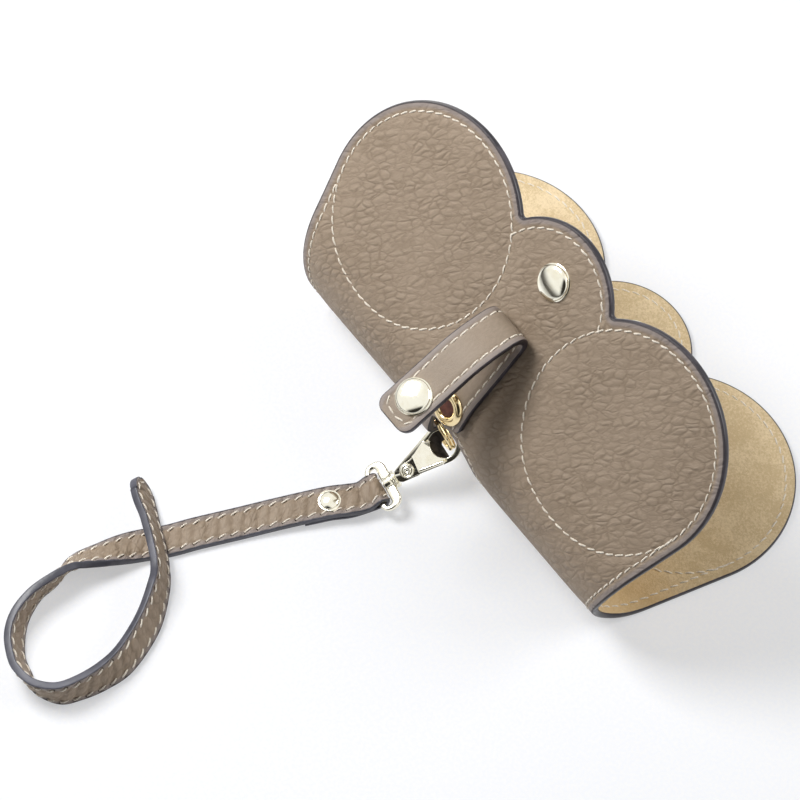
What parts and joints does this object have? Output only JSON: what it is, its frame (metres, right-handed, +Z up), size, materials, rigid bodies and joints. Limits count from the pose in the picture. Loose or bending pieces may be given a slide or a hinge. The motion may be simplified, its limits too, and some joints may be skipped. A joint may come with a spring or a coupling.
{
  "type": "folding leather glasses case",
  "caption": "Soft leather wrap case for sunglasses with two-lobed flaps, a press stud, a snap tab, a ring, a swivel hook and a wrist strap.",
  "frame": {"origin": "on the table, on the flat underside of the lower flap, midway between the centres of its two lobes", "axes": "+X along the fold, +Y from the fold towards the lobes of the lower flap, +Z up"},
  "size_m": [0.1612, 0.2321, 0.0865],
  "materials": {
    "pebbled_leather": "pebbled taupe leather, satin, dark painted edges, cream stitching",
    "smooth_leather": "fine-grained taupe leather, satin, dark painted edges, cream stitching",
    "suede": "sand-coloured microfibre suede",
    "pale_gold": "polished pale gold plating",
    "yellow_gold": "polished yellow gold plating"
  },
  "bodies": {
    "lower_half": {"back_leather": "pebbled_leather", "back_lining": "suede", "fold_leather": "pebbled_leather", "fold_lining": "suede", "closure_stud": "pale_gold", "closure_post": "pale_gold"},
    "upper_half": {"front_leather": "pebbled_leather", "front_lining": "suede", "closure_cap": "pale_gold", "closure_socket": "pale_gold", "tab_lower": "smooth_leather", "tab_turn": "smooth_leather", "tab_stud": "yellow_gold", "tab_post": "yellow_gold"},
    "tab_flap": {"tab_upper": "smooth_leather", "tab_cap": "pale_gold", "tab_socket": "pale_gold"},
    "split_ring": {"ring": "yellow_gold"},
    "hook": {"hook_body": "pale_gold", "gate_pivot_rivet": "pale_gold", "swivel_pin": "pale_gold"},
    "gate": {"hook_gate": "pale_gold"},
    "eye": {"swivel_eye": "pale_gold"},
    "strap": {"wrist_strap": "pebbled_leather", "strap_rivet": "pale_gold", "strap_rivet_back": "pale_gold"}
  },
  "joints": [
    {"name": "fold", "type": "hinge", "parent": "lower_half", "child": "upper_half", "pos_m": [0, -0.05133, 0.01266], "axis": [1, 0, 0], "range_deg": [-60, 84], "stiffness_Nm_per_rad": 0.15, "springref_deg": 2.86, "deforming": ["fold_leather", "fold_lining"]},
    {"name": "tab_bend", "type": "hinge", "parent": "upper_half", "child": "tab_flap", "pos_m": [0, -0.03564, 0.06176], "axis": [1, 0, 0], "range_deg": [-75, 35], "stiffness_Nm_per_rad": 0.01, "springref_deg": -2.86, "deforming": ["tab_turn"]},
    {"name": "ring_swing", "type": "hinge", "parent": "upper_half", "child": "split_ring", "pos_m": [-0.0048, -0.05334, 0.0228], "axis": [0.9947, -0.1032, 0], "range_deg": [-30, 10]},
    {"name": "hook_swing", "type": "hinge", "parent": "split_ring", "child": "hook", "pos_m": [0.00111, -0.05257, 0.0138], "axis": [0.4062, -0.1798, 0.8959], "range_deg": [-12, 12]},
    {"name": "gate_swing", "type": "hinge", "parent": "hook", "child": "gate", "pos_m": [-0.00295, -0.06592, 0.00858], "axis": [0.3072, -0.437, 0.8454], "range_deg": [0, 25], "stiffness_Nm_per_rad": 0.02, "springref_deg": -17.19},
    {"name": "swivel", "type": "hinge", "parent": "hook", "child": "eye", "pos_m": [-0.0037, -0.0697, 0.0069], "axis": [0.178, 0.8991, 0.4], "continuous": true},
    {"name": "strap_swing", "type": "hinge", "parent": "eye", "child": "strap", "pos_m": [-0.00505, -0.07653, 0.00386], "axis": [0.9761, -0.2129, 0.044], "range_deg": [-70, 70]}
  ]
}
